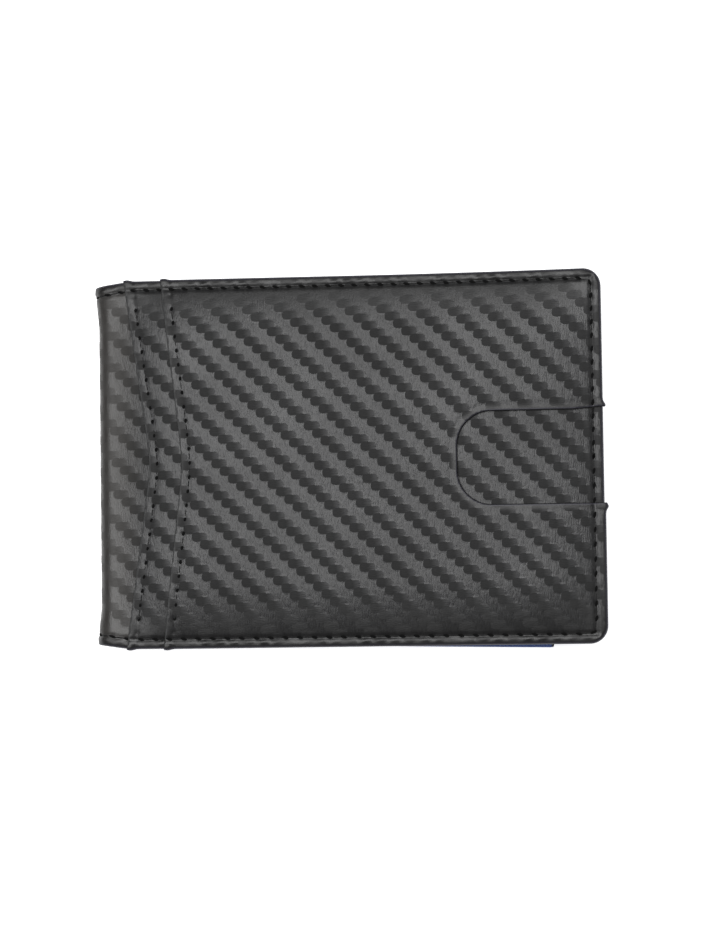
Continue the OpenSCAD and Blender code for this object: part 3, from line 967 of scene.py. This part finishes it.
def embossed_leather():
    n = Nodes("embossed_leather")
    u, v = n.uv()
    whole_u, whole_v = n.math("FLOOR", u), n.math("FLOOR", v)
    k = n.math("FLOORED_MODULO", n.plus(whole_u, whole_v), 4.0)
    fu, fv = n.minus(u, whole_u), n.minus(v, whole_v)
    own_along = n.plus(n.minus(k, 3.0), fu)
    own = bead_share(n, own_along, n.scaled(fv, 2.0, -1.0))
    own = n.blend(n.math("GREATER_THAN", k, 1.5), -1.0, own)
    right_half = n.math("COMPARE", k, 3.0, 0.1)
    left_half = n.math("COMPARE", k, 2.0, 0.1)
    next_along = n.plus(n.minus(fu, 1.0), left_half)
    next_across = n.scaled(fv, 2.0, n.blend(right_half, -3.0, 1.0))
    other = bead_share(n, next_along, next_across)
    other = n.blend(n.math("LESS_THAN", k, 0.5), other, -1.0)
    own_first = n.times(left_half, n.math("GREATER_THAN", own, 0.0))
    other_first = n.times(n.math("GREATER_THAN", other, 0.0), n.minus(1.0, own_first))
    along = n.blend(other_first, own_along, next_along)
    top_share = n.blend(other_first, own, other)
    lying = n.band(n.math("MAXIMUM", own, other), 0.0, 0.12)
    outline = n.band(top_share, 0.0, 0.3, 1.0, 0.0)
    pressed_and_shaded, rim = n.layer("pressed_and_shaded"), n.layer("rim")
    full = n.minus(1.0, pressed_and_shaded, clamp=True)

    fibre_lying = n.noise(n.join(n.times(u, 1.3), n.times(v, 9.0)), 1.0, 2.0)
    fibre_upright = n.noise(n.join(n.times(u, 9.0), n.times(v, 1.3)), 1.0, 2.0)
    fibre = n.blend(lying, fibre_upright, fibre_lying)
    place = n.place()
    cloud = n.noise(place, 55.0, 4.0, 0.6)
    grain = n.noise(place, 2600.0, 2.0)

    upright_col = n.mix(n.band(fibre_upright, 0.3, 0.7), grey(0.008, cool), grey(0.023, cool))
    seam_line = n.math("POWER", n.math("ABSOLUTE", n.scaled(fu, 2.0, -1.0)), 8.0)
    upright_col = n.mix(n.times(seam_line, 0.5), upright_col, grey(0.008))
    lying_col = n.mix(n.band(fibre_lying, 0.35, 0.65), grey(0.006), grey(0.015))
    lying_col = n.mix(n.times(outline, 0.6), lying_col, grey(0.001))
    right_end = n.band(n.scaled(fibre_lying, 0.7, along), 0.38, 1.2, 0.0, 0.85)
    lying_col = n.mix(right_end, lying_col, grey(0.022, cool))
    shown = n.times(lying, n.scaled(full, 0.8, 0.2))
    colour = n.mix(shown, upright_col, lying_col)
    colour = n.mix(n.band(cloud, 0.4, 0.75, 0.0, 0.3), colour, grey(0.012, (1.05, 1, 0.95)))
    # Painted shade: darker where the stamping is pressed, near seams, mouths, notch and spine.
    colour = n.mix(n.times(pressed_and_shaded, 0.7), colour, grey(0.004, (1.1, 1, 0.95)))
    # Lighter, warm grey towards the spine.
    colour = n.mix(n.times(n.layer("spine_tone"), 0.82), colour, grey(0.034, (1.08, 1, 0.92)))
    # Painted highlight along the pocket mouths' turned edges.
    colour = n.mix(n.layer("mouth_edge_highlight"), colour, grey(0.05))
    paint = n.band(rim, 0.1, 0.6)
    colour = n.mix(paint, colour, grey(0.020, (1.05, 1, 1.4)))
    rough = n.blend(shown, 0.34, n.blend(right_end, 0.74, 0.45))
    rough = n.plus(rough, n.band(cloud, 0.3, 0.7, -0.04, 0.05))
    rough = n.plus(rough, n.band(fibre, 0.3, 0.7, -0.04, 0.04))
    rough = n.blend(paint, rough, 0.45)
    # Black round the notch: edge paint, and also painted shadow along the notch.
    black = n.band(rim, 1.0, 1.6)
    colour = n.mix(black, colour, grey(0.002))
    rough = n.blend(black, rough, 0.9)
    line = n.times(fibre, n.scaled(full, 0.8, 0.2))
    normal = n.bump(line, 0.1 * mm, 0.8)
    normal = n.bump(grain, 0.04 * mm, 0.4, normal)
    return n.surface(Base_Color=colour, Roughness=rough, Normal=normal, Specular_IOR_Level=0.38)


# %% [markdown]
# ### Thread, blue leather, lining
# Waxed thread shows its two twisted plies. The blue leather is smooth with a fine pebbled grain, a shade
# darker in its creases. The lining is a plain weave of blue polyester, drawn from its own UV map, which
# counts millimetres, so the threads stay the same size over the spine's bend.

# %% Thread and inner materials
def thread_material():
    n = Nodes("black_thread")
    waves = {"Vector": n.place(turn=(0, 0, 0.7)), "Scale": 900.0, "Distortion": 0.6}
    ply = n.add("TexWave", waves).outputs[1]
    # The hole discs are painted shade: near-black and dull.
    hole_shade = n.layer("hole_shade")
    colour = n.mix(n.band(ply, 0.2, 0.8), grey(0.003), grey(0.012))
    colour = n.mix(hole_shade, colour, grey(0.0015))
    rough, normal = n.blend(hole_shade, 0.55, 0.95), n.bump(ply, 0.06 * mm, 0.7)
    return n.surface(Base_Color=colour, Roughness=rough, Normal=normal, Specular_IOR_Level=0.22)


blue = (0.20, 0.36, 1.0)
yarn_mm = 0.42


def blue_leather_material():
    n = Nodes("blue_leather")
    place = n.place()
    cells = n.add("TexVoronoi", {"Vector": place, "Scale": 1900.0}, feature="DISTANCE_TO_EDGE")
    pebble = n.band(cells.outputs["Distance"], 0.0, 0.16)
    cloud = n.noise(place, 60.0, 4.0, 0.6)
    colour = n.mix(n.band(cloud, 0.3, 0.7), grey(0.32, blue), grey(0.44, blue))
    colour = n.mix(n.minus(1.0, pebble), colour, grey(0.21, blue))
    colour = n.mix(n.band(n.layer("crease"), 0.3, 0.9, 0.0, 0.6), colour, grey(0.12, blue))
    paint = n.band(n.layer("rim"), 0.1, 0.5)
    colour = n.mix(paint, colour, grey(0.02, (1.1, 1, 1.3)))
    rough = n.band(cloud, 0.3, 0.7, 0.42, 0.56)
    normal = n.bump(pebble, 0.06 * mm, 0.6)
    return n.surface(Base_Color=colour, Roughness=rough, Normal=normal, Specular_IOR_Level=0.4)


def lining_material():
    n = Nodes("blue_lining")
    u, v = n.uv()
    yarn = 2 * math.pi / yarn_mm
    over = n.math("SINE", n.times(u, yarn))
    under = n.math("SINE", n.times(v, yarn))
    weave = n.scaled(n.times(over, under), 0.5, 0.5)
    slub = n.noise(n.join(n.times(u, 0.15), n.times(v, 2.5)), 1.0, 3.0)
    colour = n.mix(weave, grey(0.15, blue), grey(0.30, blue))
    colour = n.mix(n.band(slub, 0.35, 0.7, 0.0, 0.35), colour, grey(0.10, blue))
    rough, normal = n.band(slub, 0.3, 0.7, 0.62, 0.78), n.bump(weave, 0.08 * mm, 0.6)
    sheen = dict(Sheen_Weight=0.25, Sheen_Roughness=0.5)
    return n.surface(Base_Color=colour, Roughness=rough, Normal=normal, **sheen)


leather, thread, blue_leather, lining = (
    embossed_leather(), thread_material(), blue_leather_material(), lining_material()
)
for piece in (lower_panel, upper_panel, shell_upper, shell_lower):
    piece.data.materials.append(leather)
outer_threads = (front_seam, front_spine_seam, back_seam, back_spine_seam, lower_seam, upper_seam)
for piece in (*outer_threads, back_inner_seam, front_inner_seam, window_seam):
    piece.data.materials.append(thread)
for piece in (*back_slots, *front_slots, id_frame):
    piece.data.materials.append(blue_leather)
for piece in (lining_lower, lining_upper):
    piece.data.materials.append(lining)

# %% [markdown]
# ### Steel, board, foil and film
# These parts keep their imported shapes, which are right as they are, and only get their finish. The clip is
# brushed across its width, so its scratches run along the spine. The film is clear with fine rub marks.

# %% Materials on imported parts
def steel_material(name, tone, rough_low, rough_high):
    n = Nodes(name)
    scratch = n.noise(n.place(scale=(6000, 60, 6000)), 1.0, 3.0)
    smudge = n.noise(n.place(), 90.0, 4.0, 0.6)
    colour = n.mix(scratch, grey(tone * 0.82, (1, 1, 1.02)), grey(tone, (1, 1, 1.02)))
    rough = n.band(scratch, 0.3, 0.7, rough_low, rough_high)
    rough = n.plus(rough, n.band(smudge, 0.4, 0.7, 0.0, 0.1))
    normal = n.bump(scratch, 0.02 * mm, 0.5)
    return n.surface(Base_Color=colour, Roughness=rough, Normal=normal, Metallic=1.0, Anisotropic=0.4)


def board_material():
    n = Nodes("fibre_board")
    flecks = n.noise(n.place(scale=(1, 3, 1)), 900.0, 5.0, 0.7)
    colour = n.mix(flecks, grey(0.16, (1.2, 1, 0.75)), grey(0.34, (1.15, 1, 0.8)))
    rough = n.band(flecks, 0.3, 0.7, 0.8, 0.95)
    return n.surface(Base_Color=colour, Roughness=rough, Normal=n.bump(flecks, 0.1 * mm, 0.5))


def foil_material():
    n = Nodes("shielding_foil")
    crinkle = n.add("TexVoronoi", {"Vector": n.place(), "Scale": 160.0}).outputs["Distance"]
    colour = n.mix(crinkle, grey(0.62), grey(0.80))
    rough, normal = n.band(crinkle, 0.0, 0.6, 0.22, 0.38), n.bump(crinkle, 0.3 * mm, 0.4)
    return n.surface(Base_Color=colour, Roughness=rough, Normal=normal, Metallic=1.0)


def film_material():
    n = Nodes("clear_film")
    rubs = n.noise(n.place(scale=(300, 40, 300), turn=(0, 0, 0.6)), 1.0, 4.0, 0.7)
    colour, rough = n.mix(rubs, grey(0.86), grey(0.96)), n.band(rubs, 0.4, 0.75, 0.04, 0.22)
    normal = n.bump(rubs, 0.02 * mm, 0.3)
    return n.surface(Base_Color=colour, Roughness=rough, Normal=normal, Transmission_Weight=1.0, IOR=1.45)


def coat(node, material):
    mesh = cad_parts[node].data
    mesh.materials.clear()
    mesh.materials.append(material)


clip_steel = steel_material("brushed_steel", 0.72, 0.22, 0.36)
pin_steel = steel_material("pin_steel", 0.62, 0.16, 0.28)
coats = {
    clip_steel: ("clip_base", "clip_arm", "clip_rivets"),
    pin_steel: ("clip_pin",),
    board_material(): ("board_back", "board_front"),
    foil_material(): ("foil_back", "foil_front"),
    film_material(): ("id_film",),
}
for material, nodes in coats.items():
    for node in nodes:
        coat(node, material)
spring.data.materials.append(pin_steel)

# %% [markdown]
# ## Attach pieces to the frame
# A piece rides on the wing it is sewn to. The shell and lining halves, the spine seams and the spring cross a
# fold; here they are only baked in place, and the imported nodes that they replace are hidden.

# %% Rides on the wings, and pieces baked in place
def attach(piece, body, slot, *nodes):
    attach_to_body(piece, body)
    if nodes:
        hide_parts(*nodes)


def fold(piece, body_a, body_b, start, end, slot, *nodes):
    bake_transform(piece)
    if nodes:
        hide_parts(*nodes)


attach(lower_panel, "front_wing", "carbon_leather", "pocket_lower")
attach(upper_panel, "front_wing", "carbon_leather", "pocket_upper")
attach(front_seam, "front_wing", "thread", "thread_front_edge")
attach(lower_seam, "front_wing", "thread", "thread_pocket_lower")
attach(upper_seam, "front_wing", "thread", "thread_pocket_upper")
attach(back_seam, "back_wing", "thread", "thread_back_edge")
for i, piece in enumerate(back_slots):
    attach(piece, "back_wing", "blue_leather", f"slot_back_{i + 1}")
for i, piece in enumerate(front_slots):
    attach(piece, "front_wing", "blue_leather", f"slot_front_{i + 1}")
attach(id_frame, "front_wing", "blue_leather", "id_frame")
attach(back_inner_seam, "back_wing", "thread")
for piece in (front_inner_seam, window_seam):
    attach(piece, "front_wing", "thread")

# %% Pieces across a fold, and the spring
spring_ends = ((pin_x, coil_start, pin_z), (pin_x, -coil_start, pin_z))
fold_in, fold_out = spine_x, bend_end + 1 * mm
upper_fold = ((fold_in, 0, shell_top - spine_r), (fold_out, 0, shell_top))
lower_fold = ((fold_out, 0, 0), (fold_in, 0, spine_r))
fold(shell_upper, "spine", "front_wing", *upper_fold, "carbon_leather", "shell_front", "shell_spine")
fold(shell_lower, "back_wing", "spine", *lower_fold, "carbon_leather", "shell_back")
fold(front_spine_seam, "spine", "front_wing", *upper_fold, "thread")
fold(back_spine_seam, "back_wing", "spine", *lower_fold, "thread")
fold(lining_upper, "spine", "front_wing", *upper_fold, "lining", "lining_front", "lining_spine")
fold(lining_lower, "back_wing", "spine", *lower_fold, "lining", "lining_back")
fold(spring, "back_wing", "note_clip", *spring_ends, "spring_steel", "clip_spring")

# %% [markdown]
# ## Floor, light and camera
# Black leather shows the light's shape. One broad soft light hangs above the wallet, a little towards its
# top edge, so that the flat middle mirrors it and turns grey, while edges that fall away mirror the darker
# room and turn black. The floor glows a little, so that it stays white under the wallet's soft shadow.

# %% Stage
floor_half, floor_gap = 2.0, 0.05 * mm
floor_glow, room_light = 0.7, 0.2


def stage():
    bm = bmesh.new()
    bmesh.ops.create_grid(bm, x_segments=1, y_segments=1, size=floor_half)
    bmesh.ops.translate(bm, verts=bm.verts, vec=(0, 0, -floor_gap))
    floor = finish_mesh(bm, "floor")
    n = Nodes("pale_floor")
    glow = dict(Emission_Color=grey(1), Emission_Strength=floor_glow)
    white = n.surface(Base_Color=grey(0.92), Roughness=0.9, Specular_IOR_Level=0.1, **glow)
    floor.data.materials.append(white)
    world = bpy.data.worlds.new("room")
    world.use_nodes = True
    background = world.node_tree.nodes["Background"]
    background.inputs[0].default_value = (0.95, 0.97, 1.0, 1)
    background.inputs[1].default_value = room_light
    scene.world = world
    scene.view_settings.view_transform = "Standard"


def soft_light(name, place, aim, size, power):
    lamp = bpy.data.lights.new(name, "AREA")
    lamp.shape = "RECTANGLE"
    lamp.size, lamp.size_y = size
    lamp.energy = power
    light = bpy.data.objects.new(name, lamp)
    light.location = place
    light.rotation_euler = (Vector(aim) - Vector(place)).to_track_quat("-Z", "Y").to_euler()
    scene.collection.objects.link(light)


stage()
soft_light("over", (-0.08, 0.12, 0.8), (0, 0, 0), (0.9, 0.42), 7.5)

# %% [markdown]
# The camera looks down on the front cover, a little from the lower free corner, so that this corner comes
# out a touch larger. It is rolled slightly, because the wallet was not laid down quite straight.

# %% Camera
camera_d = 0.6
lean_x, lean_y = math.radians(4.5), math.radians(-3.0)
roll = math.radians(0.8)
view_h = 205.75 * mm
sensor_h = 24
look = Vector((0.0, 0.0, shell_top))
camera_data = bpy.data.cameras.new("camera")
camera = bpy.data.objects.new("camera", camera_data)
back = Vector((math.tan(lean_x), math.tan(lean_y), 1)).normalized()
up = Vector((math.sin(roll), math.cos(roll), 0))
right = up.cross(back).normalized()
up = back.cross(right)
axes = Matrix((right, up, back)).transposed().to_4x4()
camera.matrix_world = Matrix.Translation(look + back * camera_d) @ axes
camera_data.sensor_fit = "VERTICAL"
camera_data.sensor_height = sensor_h
camera_data.lens = camera_d / view_h * sensor_h
camera_data.shift_x = 0.0115
camera_data.shift_y = -0.005
scene.collection.objects.link(camera)
scene.camera = camera
print(f"lens {camera_data.lens:.0f} mm")
